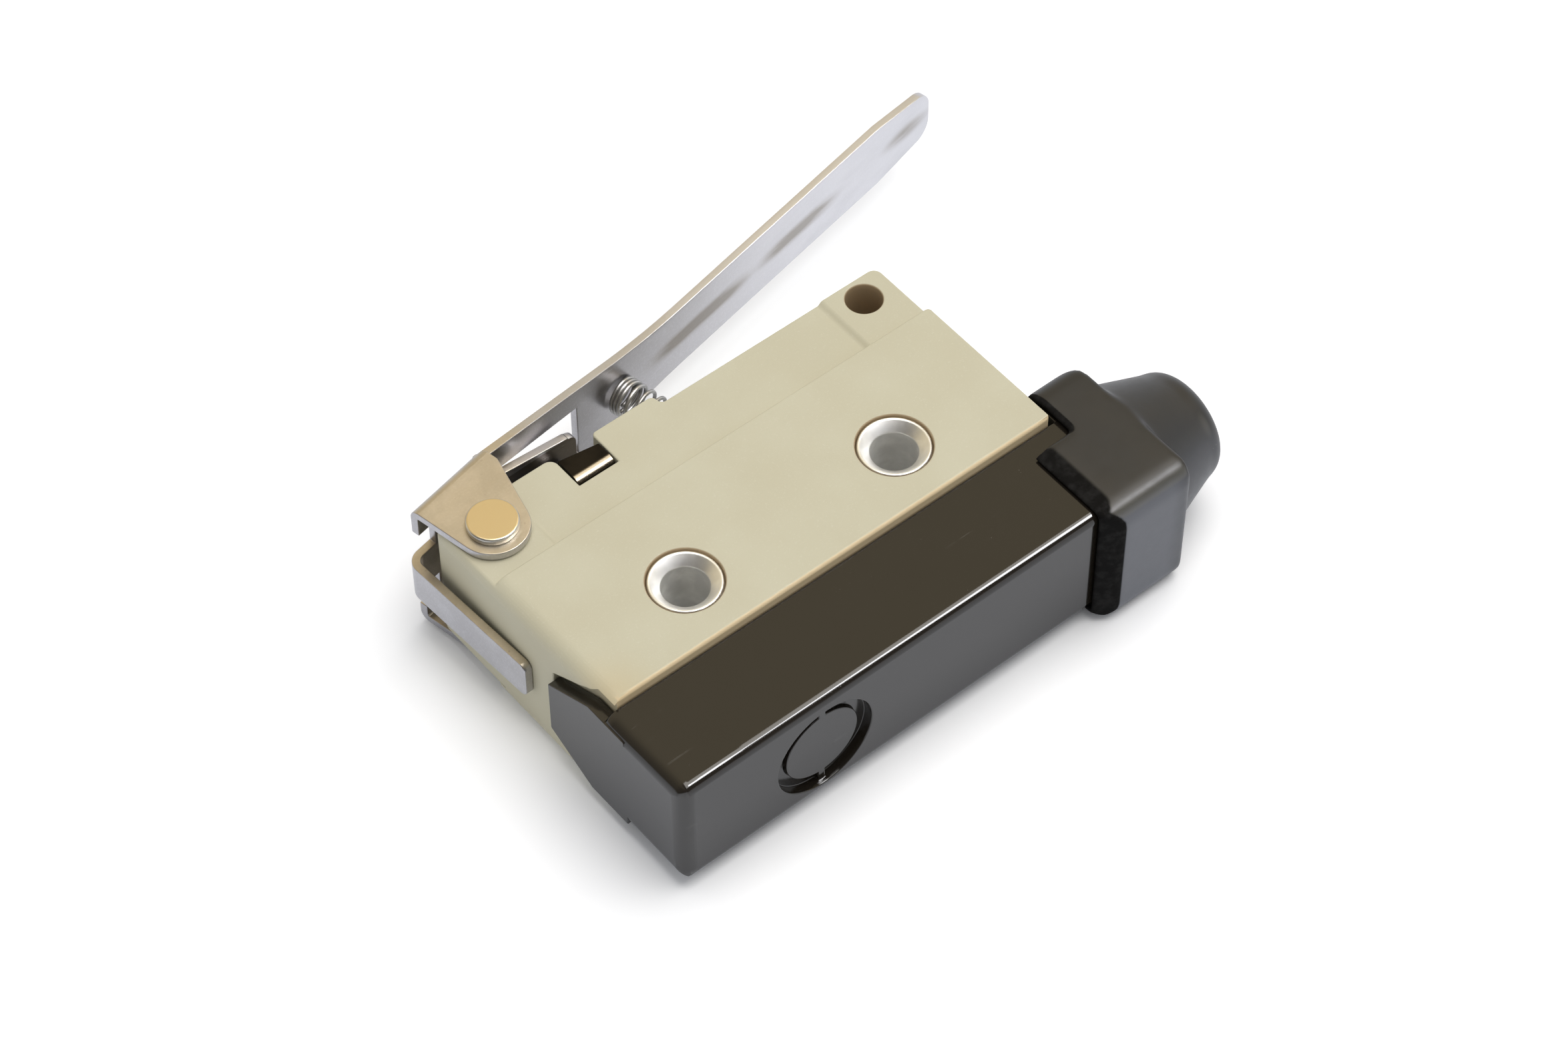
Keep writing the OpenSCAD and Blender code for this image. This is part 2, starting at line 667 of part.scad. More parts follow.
// Soft sleeve over the cover's right end, with a nozzle for the cable
module cable_boot() {
    end = boot_right + nozzle_l;
    rim_r = nozzle_end_r + (nozzle_base_r - nozzle_end_r) * nozzle_round / nozzle_l;
    color([0.09, 0.08, 0.07]) difference() {
        union() {
            intersection() {
                along_x(boot_left, boot_right) soft_bar(boot_low, -hood_y, boot_back, boot_front, boot_round);
                along_z(boot_back, boot_front) boot_outline();
                along_y(boot_low, -hood_y) boot_section();
            }
            intersection() {
                translate([0, -nozzle_y, mid_z]) rotate([0, 90, 0]) rotate_extrude() {
                    polygon([[0, boot_right - boot_round], [nozzle_base_r, boot_right - boot_round],
                        [nozzle_base_r, boot_right], [rim_r, end - nozzle_round], [0, end - nozzle_round]]);
                    bar(0, rim_r - nozzle_round, end - 2 * nozzle_round, end);
                    translate([rim_r - nozzle_round, end - nozzle_round]) circle(nozzle_round);
                }
                slab([boot_left, boot_low - nozzle_base_r, boot_back], [end, nozzle_base_r, boot_front]);
            }
        }
        along_x(boot_left - cut, cover_right + seat_gap)
            bar(-cover_low - seat_gap, cover_top + seat_gap, cover_back - seat_gap, cover_front + seat_gap);
        along_x(boot_step_x - cut, cover_right + seat_gap)
            bar(-cover_low - seat_gap, -neck_y + seat_gap, cover_back - seat_gap, cover_front + seat_gap);
        translate([cover_right, -nozzle_y, mid_z]) rotate([0, 90, 0])
            cylinder(h = end - cover_right + cut, r = cable_r);
    }
}

// Half width of the arm at a distance along it
function arm_half(u) = arm_w / 2 + max(0, taper_end - u) * taper_rate;

// Outline of the arm, with the window that the tongue is cut from
module arm_outline() {
    start = ear_reach - sheet_round;
    tip_in = arm_length - tip_round;
    translate([0, mid_z]) difference() {
        union() {
            polygon([[start, -arm_half(start)], [taper_end, -arm_w / 2], [tip_start, -arm_w / 2],
                [tip_in, -tip_half], [tip_in, tip_half], [tip_start, arm_w / 2], [taper_end, arm_w / 2],
                [start, arm_half(start)]]);
            soft_bar(tip_in - 2 * tip_round, arm_length, -tip_half, tip_half, tip_round);
        }
        polygon([[window_start, -tongue_root_half - seat_gap], [window_end, -tongue_end_half],
            [window_end, tongue_end_half], [window_start, tongue_root_half + seat_gap]]);
    }
}

// Outline of an ear: a round end about the pivot, widening to the web
module ear_outline() {
    shoulder = [ear_reach, arm_offset - ear_side];
    reach = norm(shoulder);
    a = atan2(shoulder.y, shoulder.x) - acos(ear_r / reach);
    top = arm_offset + sheet_t;
    difference() {
        union() {
            circle(ear_r);
            polygon([[-ear_r, 0], [ear_r * cos(a), ear_r * sin(a)], shoulder, [ear_reach, top], [-ear_r, top]]);
        }
        nip(ear_reach, top, sheet_round, 1, 1);
        circle(pin_r + rivet_gap);
    }
}

// Section across the ears and the web
module clevis_section() {
    far = arm_offset + sheet_t;
    near = -2 * ear_r;
    fold = 1.25 * sheet_t;
    difference() {
        bar(near, far, ear_low, ear_top);
        nip(far, ear_top, fold, 1, 1);
        nip(far, ear_low, fold, 1, -1);
        difference() {
            bar(near - cut, arm_offset, ear_low + sheet_t, ear_top - sheet_t);
            nip(arm_offset, ear_top - sheet_t, fold - sheet_t, 1, 1);
            nip(arm_offset, ear_low + sheet_t, fold - sheet_t, 1, -1);
        }
    }
}

// The tail's straight run in plan, measured from the bend along the way it points
module tail_leg() {
    translate([bend_u, bend_v, 0]) rotate(tail_turn) mirror([1, 0, 0]) children();
}

// Tail's outline in plan: web, bend and the straight run that rests on the case's end wall
module tail_outline() {
    difference() {
        union() {
            translate([bend_u, bend_v]) {
                circle(bend_r);
                bar(0, -bend_u, 0, bend_r);
            }
            tail_leg() bar(0, tail_run, 0, bend_r);
        }
        translate([bend_u, bend_v]) {
            circle(bend_in);
            bar(0, cut - bend_u, -2 * bend_r, bend_in);
        }
        tail_leg() bar(0, tail_run + cut, -2 * bend_r, bend_in);
    }
}

// Rounded corners of the tail's end, as solids to cut away; they cross its sides at a slight angle
module tail_corners() {
    ease = tail_round / 30;
    tail_leg() along_y(0, bend_r + cut) {
        nip(tail_run + ease, tail_1 + ease, tail_round, 1, 1);
        nip(tail_run + ease, tail_0 - ease, tail_round, 1, -1);
    }
}

module lever() {
    color([0.72, 0.70, 0.70]) union() {
        arm_frame() {
            along_y(arm_offset, arm_offset + sheet_t) arm_outline();
            difference() {
                intersection() {
                    along_x(-2 * ear_r, 2 * ear_reach) clevis_section();
                    along_z(ear_low, ear_top) ear_outline();
                }
                slab([-2 * ear_r, 0, tail_0 - tail_slot], [-0.4 * ear_r, 2 * arm_offset, tail_1 + tail_slot]);
                window_cut();
            }
            difference() {
                along_z(tail_0, tail_1) tail_outline();
                tail_corners();
            }
        }
        translate([tongue_root_x, tongue_y, 0]) rotate(tongue_tilt) along_y(0, sheet_t) tongue_outline();
    }
}

// Window where it runs under the ears
module window_cut() {
    along_y(0, 2 * arm_offset) translate([0, mid_z])
        bar(window_start, 2 * ear_reach, -tongue_root_half - seat_gap, tongue_root_half + seat_gap);
}

// Tongue that presses the plunger, from its root on the arm
module tongue_outline() {
    root = -sheet_t / 2;
    reach = (tongue_end_x - tongue_root_x) / cos(tongue_tilt);
    translate([0, mid_z]) difference() {
        polygon([[root, -tongue_root_half], [reach, -tongue_end_half], [reach, tongue_end_half],
            [root, tongue_root_half]]);
        nip(reach, tongue_end_half, sheet_round, 1, 1);
        nip(reach, -tongue_end_half, sheet_round, 1, -1);
    }
}

module hinge_pin() {
    color([0.80, 0.66, 0.38]) translate([pivot_x, pivot_y, 0]) rotate_extrude() difference() {
        union() {
            bar(0, pin_r, ear_low - pin_foot_t, ear_top + pin_head_t);
            bar(0, pin_head_r, ear_top, ear_top + pin_head_t);
            bar(0, pin_head_r, ear_low - pin_foot_t, ear_low);
        }
        nip(pin_head_r, ear_top + pin_head_t, pin_head_t / 3, 1, 1);
        nip(pin_head_r, ear_low - pin_foot_t, pin_foot_t / 2, 1, -1);
    }
}

// Coil square to the arm, from the arm's inner face to the strip
module return_spring() {
    dx = spring_x - pivot_x;
    dy = strip_free_y - pivot_y;
    u = dx * cos(arm_tilt) + dy * sin(arm_tilt);
    v = dy * cos(arm_tilt) - dx * sin(arm_tilt);
    lift = (spring_r + spring_wire / 2) * sin(arm_tilt) + spring_wire / 2 + touch_gap;
    height = arm_offset - touch_gap - spring_wire / 2 - v - lift;
    color([0.62, 0.61, 0.60]) arm_frame() translate([u, v + lift, mid_z]) rotate([-90, 0, 0])
        coil(spring_r, spring_wire, spring_turns, height, spring_closed);
}

// Stamped channel that fills the notch from wall to wall and guides the plunger's head; its top is cut aslant
module guide_saddle() {
    half = notch_w / 2 - run_gap;
    low = notch_y + touch_gap;
    high = low + saddle_d;
    rise = half * tan(-saddle_tilt);
    color([0.42, 0.40, 0.38]) difference() {
        intersection() {
            along_x(notch_x - half, notch_x + half) difference() {
                bar(low, high + rise, strip_back, strip_top);
                nip(low, strip_top, saddle_fold, -1, 1);
                nip(low, strip_back, saddle_fold, -1, -1);
                difference() {
                    bar(low + saddle_t, high + rise + cut, strip_back + saddle_t, strip_top - saddle_t);
                    nip(low + saddle_t, strip_top - saddle_t, saddle_fold - saddle_t, -1, 1);
                    nip(low + saddle_t, strip_back + saddle_t, saddle_fold - saddle_t, -1, -1);
                }
            }
            along_z(strip_back, strip_top) translate([notch_x, 0])
                polygon([[-half, low], [half, low], [half, high - rise], [-half, high + rise]]);
        }
        rod_y(notch_x, low - cut, high, plunger_r + run_gap);
    }
}

module plunger_seal() {
    color([0.15, 0.15, 0.15]) difference() {
        rod_y(notch_x, notch_y - seal_h + touch_gap, notch_y - touch_gap, collar_r - touch_gap);
        rod_y(notch_x, notch_y - 2 * seal_h, notch_y + seal_h, plunger_r + fit_gap / 2);
    }
}

module plunger() {
    color([0.55, 0.54, 0.53]) union() {
        intersection() {
            rod_y(notch_x, collar_y, plunger_tip, plunger_r);
            union() {
                rod_y(notch_x, collar_y, plunger_tip - dome_r / 2, plunger_r);
                translate([notch_x, plunger_tip - dome_r, mid_z]) sphere(dome_r);
            }
        }
        rod_y(notch_x, collar_y, collar_top, collar_r);
        rod_y(notch_x, collar_y - spigot_h, collar_y, spigot_r);
    }
}

module overtravel_spring() {
    low = button_top + touch_gap + over_wire / 2;
    high = collar_y - touch_gap - over_wire / 2;
    color([0.62, 0.61, 0.60]) translate([notch_x, low, mid_z]) rotate([-90, 0, 0])
        coil(over_r, over_wire, over_turns, high - low, 1);
}

module drive_button() {
    color([0.55, 0.32, 0.15]) union() {
        rod_y(notch_x, button_low, button_y, nose_r);
        rod_y(notch_x, button_y, button_top, collar_r);
        rod_y(notch_x, button_top, button_top + spigot_h, spigot_r);
    }
}

module moving_blade() {
    margin = 0.6;
    color([0.78, 0.62, 0.35]) difference() {
        union() {
            slab([common_x - strap_t, blade_y, mid_z - blade_w / 2],
                [contact_x + contact_r + margin, blade_y + blade_t, mid_z + blade_w / 2]);
            // Lip that hooks over the common post
            slab([common_x - strap_t - blade_t, blade_y - strap_t, mid_z - blade_w / 2],
                [common_x - strap_t, blade_y + blade_t, mid_z + blade_w / 2]);
        }
        slab([snap_left - seat_gap, blade_y - cut, mid_z - snap_w / 2 - seat_gap],
            [snap_right + seat_gap, blade_y + cut + blade_t, mid_z + snap_w / 2 + seat_gap]);
        rod_y(contact_x, blade_y - cut, blade_y + blade_t + cut, contact_r / 2 + touch_gap);
    }
}

// Bowed leaf that snaps the blade over
module snap_spring() {
    half = (snap_right - snap_left) / 2;
    r = (half * half + snap_bow * snap_bow) / (2 * snap_bow);
    color([0.70, 0.68, 0.66]) along_z(mid_z - snap_w / 2, mid_z + snap_w / 2) intersection() {
        translate([(snap_left + snap_right) / 2, blade_y + blade_t - snap_bow + r]) difference() {
            circle(r);
            circle(r - snap_t);
        }
        bar(snap_left, snap_right, blade_y - 2 * snap_bow, blade_y + blade_t);
    }
}

module moving_contact() {
    color([0.86, 0.86, 0.84]) union() {
        rod_y(contact_x, blade_y - contact_h, blade_y, contact_r);
        rod_y(contact_x, blade_y - contact_h, blade_y + blade_t + contact_h, contact_r / 2);
        rod_y(contact_x, blade_y + blade_t, blade_y + blade_t + contact_h, contact_r);
    }
}

module closed_contact() {
    color([0.86, 0.86, 0.84]) rod_y(contact_x, closed_face, closed_face + contact_h, contact_r);
}

module open_contact() {
    color([0.86, 0.86, 0.84]) rod_y(contact_x, open_face - contact_h, open_face, contact_r);
}

// Post through the base with a foot for the terminal screw; side is the way the foot runs from the post
module terminal(x, top, side) {
    far = x + side * (foot_l - strap_t / 2);
    near = x - side * strap_t / 2;
    color([0.80, 0.63, 0.32]) difference() {
        union() {
            slab([x - strap_t / 2, foot_y, mid_z - strap_w / 2], [x + strap_t / 2, top, mid_z + strap_w / 2]);
            slab([min(near, far), foot_y, mid_z - foot_w / 2], [max(near, far), -block_low, mid_z + foot_w / 2]);
            children();
        }
        rod_y(x + side * screw_reach, foot_y - cut, -block_low + cut, screw_r + seat_gap);
    }
}

// The post's round top is the edge that the blade turns on
module common_terminal() {
    terminal(common_x, hinge_y, 1)
        rod_z(common_x, hinge_y, mid_z - strap_w / 2, mid_z + strap_w / 2, strap_t / 2);
}

module open_terminal() {
    y = open_face - contact_h;
    terminal(contact_x, y, -1)
        slab([contact_x - contact_r, y - strap_t, mid_z - strap_w / 2],
            [contact_x + contact_r, y, mid_z + strap_w / 2]);
}

module closed_terminal() {
    y = closed_face + contact_h;
    terminal(closed_x, y + strap_t, -1)
        slab([contact_x - contact_r, y, mid_z - strap_w / 2], [closed_x, y + strap_t, mid_z + strap_w / 2]);
}

// Plate that closes the chamber and carries the terminals
module terminal_base() {
    posts = [common_x, contact_x, closed_x];
    screws = [common_x + screw_reach, contact_x - screw_reach, closed_x - screw_reach];
    top = -block_low + base_t;
    color([0.36, 0.20, 0.10]) difference() {
        slab([chamber_left + seat_gap, -block_low, chamber_back + seat_gap],
            [chamber_right - seat_gap, top, chamber_front - seat_gap]);
        for (x = posts)
            slab([x - strap_t / 2 - seat_gap, -block_low - cut, mid_z - strap_w / 2 - seat_gap],
                [x + strap_t / 2 + seat_gap, top + cut, mid_z + strap_w / 2 + seat_gap]);
        for (x = screws) rod_y(x, -block_low - cut, top + cut, screw_r + seat_gap);
    }
}

module terminal_screws() {
    low = foot_y - touch_gap - screw_head_h;
    color([0.75, 0.74, 0.70]) for (x = [common_x + screw_reach, contact_x - screw_reach, closed_x - screw_reach])
        difference() {
            union() {
                rod_y(x, low, foot_y - touch_gap, screw_head_r);
                rod_y(x, low, -block_low + base_t, screw_r);
            }
            slab([x - screw_head_r - cut, low - cut, mid_z - slot_w / 2],
                [x + screw_head_r + cut, low + slot_d, mid_z + slot_w / 2]);
        }
}

case();
eyelet_left();
eyelet_right();
terminal_cover();
cable_boot();
lever();
hinge_pin();
return_spring();
guide_saddle();
plunger_seal();
plunger();
overtravel_spring();
drive_button();
moving_blade();
snap_spring();
moving_contact();
closed_contact();
open_contact();
common_terminal();
closed_terminal();
open_terminal();
terminal_base();
terminal_screws();
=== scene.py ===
import json
import math
import bmesh
import bpy
from mathutils import Matrix, Vector
from mathutils.bvhtree import BVHTree


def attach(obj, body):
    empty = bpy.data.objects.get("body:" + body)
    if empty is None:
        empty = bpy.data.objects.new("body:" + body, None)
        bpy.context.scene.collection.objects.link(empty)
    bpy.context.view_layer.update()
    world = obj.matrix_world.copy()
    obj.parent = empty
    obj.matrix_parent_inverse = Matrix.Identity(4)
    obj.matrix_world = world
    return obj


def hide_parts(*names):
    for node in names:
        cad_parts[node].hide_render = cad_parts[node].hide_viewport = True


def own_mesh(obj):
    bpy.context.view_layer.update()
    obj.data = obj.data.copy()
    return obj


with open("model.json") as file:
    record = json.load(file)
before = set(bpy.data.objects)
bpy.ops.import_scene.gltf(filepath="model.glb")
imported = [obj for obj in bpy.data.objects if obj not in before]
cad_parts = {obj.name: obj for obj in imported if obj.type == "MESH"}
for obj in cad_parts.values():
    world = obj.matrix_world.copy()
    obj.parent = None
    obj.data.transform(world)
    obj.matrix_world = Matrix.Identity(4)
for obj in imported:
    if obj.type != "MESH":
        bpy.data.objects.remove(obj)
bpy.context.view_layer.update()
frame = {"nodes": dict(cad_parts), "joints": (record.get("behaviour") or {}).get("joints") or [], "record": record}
mm = 0.001
joints = {joint["name"]: joint for joint in frame["joints"]}
print("frame loaded:", len(frame["nodes"]), "nodes")


def tone(red, green, blue):  # a colour as an eye reads it, 0 to 255, made linear
    def channel(value):
        part = value / 255
        return part / 12.92 if part <= 0.04045 else ((part + 0.055) / 1.055) ** 2.4
    return (channel(red), channel(green), channel(blue), 1)


# one socket; sums and products of sockets add Math nodes
class Sock:
    def __init__(self, shader, socket):
        self.shader = shader
        self.socket = socket

    def calc(self, operation, first, second=0.0, clamp=False):
        settings = {"operation": operation, "use_clamp": clamp}
        return self.shader.node("ShaderNodeMath", settings, {0: first, 1: second})

    def __add__(self, other):
        return self.calc("ADD", self, other)

    def __radd__(self, other):
        return self.calc("ADD", other, self)

    def __sub__(self, other):
        return self.calc("SUBTRACT", self, other)

    def __rsub__(self, other):
        return self.calc("SUBTRACT", other, self)

    def __mul__(self, other):
        return self.calc("MULTIPLY", self, other)

    def __rmul__(self, other):
        return self.calc("MULTIPLY", other, self)

    def __abs__(self):
        return self.calc("ABSOLUTE", self)

    def clip(self):
        return self.calc("ADD", self, 0.0, clamp=True)

    def above(self, low, high):  # 0 under low, 1 over high, with a smooth run between
        values = {"Value": self, "From Min": low, "From Max": high}
        return self.shader.node("ShaderNodeMapRange", {"interpolation_type": "SMOOTHSTEP"}, values)


# one node tree: node() adds any node, the rest are the few that come back often
class Shader:
    def __init__(self, tree):
        self.tree = tree
        self.tree.nodes.clear()

    def node(self, kind, settings=None, values=None, out=0):
        made = self.tree.nodes.new(kind)
        for key, value in (settings or {}).items():
            setattr(made, key, value)
        for key, value in (values or {}).items():
            if isinstance(value, Sock):
                self.tree.links.new(value.socket, made.inputs[key])
            else:
                made.inputs[key].default_value = value
        return Sock(self, made.outputs[out]) if made.outputs else made

    def mix(self, factor, first, second):  # two colours
        return self.node("ShaderNodeMix", {"data_type": "RGBA"}, {0: factor, 6: first, 7: second}, out=2)

    def noise(self, place, scale, detail=2.0, roughness=0.5):
        values = {"Vector": place, "Scale": scale, "Detail": detail, "Roughness": roughness}
        return self.node("ShaderNodeTexNoise", None, values)

    def cells(self, place, scale):  # distance to the middle of the nearest cell
        return self.node("ShaderNodeTexVoronoi", None, {"Vector": place, "Scale": scale}, out="Distance")

    def stretch(self, place, size=(1, 1, 1), turn=(0, 0, 0), move=(0, 0, 0)):
        values = {"Vector": place, "Scale": size, "Rotation": turn, "Location": move}
        return self.node("ShaderNodeMapping", None, values)

    def split(self, place):
        return [self.node("ShaderNodeSeparateXYZ", None, {0: place}, out=axis) for axis in (0, 1, 2)]

    def measure(self, operation, first, second):  # one number from two vectors
        return self.node("ShaderNodeVectorMath", {"operation": operation}, {0: first, 1: second}, out="Value")

    def farFrom(self, place, point):  # distance in metres
        return self.measure("DISTANCE", place, point)

    def bump(self, height, strength, depth):
        values = {"Height": height, "Strength": strength, "Distance": depth}
        return self.node("ShaderNodeBump", None, values, out="Normal")


class Finish(Shader):
    def __init__(self, name):
        self.material = bpy.data.materials.new(name)
        self.material.use_nodes = True
        super().__init__(self.material.node_tree)
        self.place = self.node("ShaderNodeTexCoord", out="Object")
        self.facing = self.node("ShaderNodeTexCoord", out="Normal")

    def done(self, values):
        skin = self.node("ShaderNodeBsdfPrincipled", None, values)
        self.node("ShaderNodeOutputMaterial", None, {"Surface": skin})
        return self.material


# camera, at the photograph's angle
cameraSpec = {
    "place": (-158.42, -192.38, 332.80),
    "target": (0, 0, 17),
    "lens": 98.5,
    "sensor": 36,
    "shift": (-0.0045, -0.0075),
    "clip": 10,
}


def makeCamera(spec):
    data = bpy.data.cameras.new("camera")
    data.lens = spec["lens"]
    data.sensor_width = spec["sensor"]
    data.shift_x, data.shift_y = spec["shift"]
    data.clip_start = spec["clip"] * mm
    camera = bpy.data.objects.new("camera", data)
    bpy.context.scene.collection.objects.link(camera)
    place = Vector(spec["place"]) * mm
    target = Vector(spec["target"]) * mm
    camera.location = place
    camera.rotation_mode = "QUATERNION"
    camera.rotation_quaternion = (target - place).to_track_quat("-Z", "Y")
    bpy.context.scene.camera = camera


# white table, a soft lamp overhead and a warm room that only shiny faces see
lightSpec = {
    "sky": (0.95, 0.97, 1.0, 1),
    "skyLevel": 0.50,
    "lamp": {"place": (0.15, -0.08, 0.70), "size": (0.60, 0.55), "watts": 3.6, "colour": (1.0, 0.98, 0.95)},
    "table": (0.905, 0.925, 0.97, 1),
    "tableSeen": (1.16, 1.16, 1.17, 1),
    "tableSize": 3.0,
    "roomWarm": (0.78, 0.66, 0.44, 1),
    "roomDark": (0.12, 0.11, 0.10, 1),
    "roomLow": (0.95, 0.95, 0.96, 1),
    "behind": (0.52, 0.85, 0.0), "behindRun": (-0.25, 0.35),
    "band": (0.02, 0.26), "bandClimb": 0.3,
    "window": (0.39, -0.34, 0.857), "windowRun": (0.9848, 0.9950), "windowLight": (20, 20, 20.6, 1),
}


def makeLight(spec):
    world = bpy.data.worlds.new("room")
    bpy.context.scene.world = world
    world.use_nodes = True
    sky = Shader(world.node_tree)
    way = sky.node("ShaderNodeTexCoord", out="Generated")
    right, height = sky.split(way)[::2]
    behind = sky.measure("DOT_PRODUCT", way, spec["behind"])
    high = sky.mix(behind.above(*spec["behindRun"]), spec["roomDark"], spec["roomWarm"])
    level = height - right * spec["bandClimb"]  # the pale band climbs to the right
    room = sky.mix(level.above(*spec["band"]), spec["roomLow"], high)
    window = sky.measure("DOT_PRODUCT", way, spec["window"])  # small and bright, for thin lines on edges
    room = sky.mix(window.above(*spec["windowRun"]), room, spec["windowLight"])
    kinds = ("Is Camera Ray", "Is Glossy Ray", "Is Transmission Ray")
    fromCamera, glossy, through = [sky.node("ShaderNodeLightPath", out=kind) for kind in kinds]
    plain = sky.node("ShaderNodeBackground", None, {"Color": spec["sky"], "Strength": spec["skyLevel"]})
    seen = sky.node("ShaderNodeBackground", None, {"Color": room, "Strength": 1.0})
    white = sky.node("ShaderNodeBackground", None, {"Color": (1, 1, 1, 1), "Strength": 1.0})
    shiny = sky.node("ShaderNodeMixShader", None, {0: (glossy + through).clip(), 1: plain, 2: seen})
    final = sky.node("ShaderNodeMixShader", None, {0: fromCamera, 1: shiny, 2: white})
    sky.node("ShaderNodeOutputWorld", None, {"Surface": final})

    lamp = spec["lamp"]
    data = bpy.data.lights.new("overhead", "AREA")
    data.shape = "RECTANGLE"
    data.size, data.size_y = lamp["size"]
    data.energy = lamp["watts"]
    data.color = lamp["colour"]
    overhead = bpy.data.objects.new("overhead", data)
    overhead.location = lamp["place"]
    bpy.context.scene.collection.objects.link(overhead)

    bm = bmesh.new()
    bmesh.ops.create_grid(bm, x_segments=1, y_segments=1, size=spec["tableSize"] / 2)
    mesh = bpy.data.meshes.new("table")
    bm.to_mesh(mesh)
    bm.free()
    table = bpy.data.objects.new("table", mesh)
    bpy.context.scene.collection.objects.link(table)
    top = Finish("tableWhite")
    flat = top.node("ShaderNodeBsdfDiffuse", None, {"Color": spec["table"]})
    bright = top.node("ShaderNodeBsdfDiffuse", None, {"Color": spec["tableSeen"]})
    fromCamera = top.node("ShaderNodeLightPath", out="Is Camera Ray")
    final = top.node("ShaderNodeMixShader", None, {0: fromCamera, 1: flat, 2: bright})
    top.node("ShaderNodeOutputMaterial", None, {"Surface": final})
    mesh.materials.append(top.material)


# moulded beige resin with a fine grain, with painted warm glow near its thin top corner and on its front wall
# above the cover, and painted shade inside its holes
def casePlastic(spec):
    skin = Finish("casePlastic")
    grain = skin.noise(skin.place, spec["grain"], 3.0, 0.6)
    cloud = skin.noise(skin.place, spec["cloud"], 3.0)
    colour = skin.mix(cloud.above(0.3, 0.7), spec["dark"], spec["light"])
    colour = skin.mix(grain.above(0.55, 0.8) * 0.4, colour, spec["fleck"])
    # painted glow: warmer near the thin top corner, for light shining through the resin
    corner = tuple(Vector(spec["thinCorner"]) * mm)
    near = 1 - skin.farFrom(skin.place, corner).above(0.0, spec["thinReach"] * mm)
    colour = skin.mix(near * 0.4, colour, spec["paintedThinGlow"])
    # painted glow: the front wall above the cover is painted paler and warmer, for light coming through the thin
    # resin
    north = skin.split(skin.facing)[1]
    depth = skin.split(skin.place)[1]
    wallStart, wallEnd = spec["wall"]
    wall = (0 - north).above(0.15, 0.6) * (1 - depth.above(wallStart * mm, wallEnd * mm))
    colour = skin.mix(wall * 0.7, colour, spec["paintedWallGlow"])
    plan = skin.stretch(skin.place, (1, 1, 0))
    for hole, radius in spec["holes"]:  # painted shade: the resin is painted a darker warm brown inside its holes
        away = skin.farFrom(plan, (hole[0] * mm, hole[1] * mm, 0))
        inside = 1 - away.above(radius * mm, (radius + spec["holeRim"]) * mm)
        colour = skin.mix(inside * 0.7, colour, spec["brown"])
    rough = 0.42 + grain * 0.2
    normal = skin.bump(grain, 0.35, spec["relief"] * mm)
    return skin.done({"Base Color": colour, "Roughness": rough, "IOR": 1.5, "Normal": normal})


caseSpec = {
    "edge": 0.18, "steps": 3, "facet": 1.3, "crisp": (-24.9, -3.2),
    "grain": 5200.0, "cloud": 110.0, "relief": 0.03,
    "dark": tone(197, 190, 163), "light": tone(201, 195, 169), "fleck": tone(216, 212, 193),
    "paintedThinGlow": tone(198, 170, 116), "brown": tone(150, 116, 74), "paintedWallGlow": tone(232, 204, 158),
    "stripTop": 16.0, "padIn": 18.8, "padNear": 0.25, "padHigh": 0.45, "padLean": 1.3, "blockHigh": 11.0,
    "holes": (((22.67, 16.31), 1.9), ((12.7, 0), 3.8), ((-12.7, 0), 3.8)), "holeRim": 0.12,
    "thinCorner": (-26.9, -6.8, 17), "thinReach": 7, "wall": (-6.4, -5.9),
}


# glossy black resin with dust and fine scratches
def coverPlastic(spec):
    skin = Finish("coverPlastic")
    wear = skin.noise(skin.place, 260.0, 3.0)
    dust = (1 - skin.cells(skin.place, spec["dust"]).above(0.03, 0.09)) * wear.above(0.55, 0.7)
    line = skin.noise(skin.stretch(skin.place, (60, 2600, 900), (0.3, 0, 0.5)), 1.0, 1.0)
    hair = line.above(0.72, 0.75) * wear.above(0.52, 0.64)
    colour = skin.mix((dust + hair * 0.25).clip() * 0.35, spec["black"], spec["grey"])
    rough = spec["rough"] + dust * 0.3 + hair * 0.1 + wear * 0.06
    normal = skin.bump(skin.noise(skin.place, 420.0, 2.0), 0.05, spec["relief"] * mm)
    return skin.done({"Base Color": colour, "Roughness": rough, "IOR": 1.6, "Normal": normal})


coverSpec = {
    "edge": 0.12, "steps": 3, "facet": 1.3,
    "dust": 1500.0, "rough": 0.10, "relief": 0.03,
    "black": tone(31, 27, 22), "grey": tone(120, 118, 112),
}
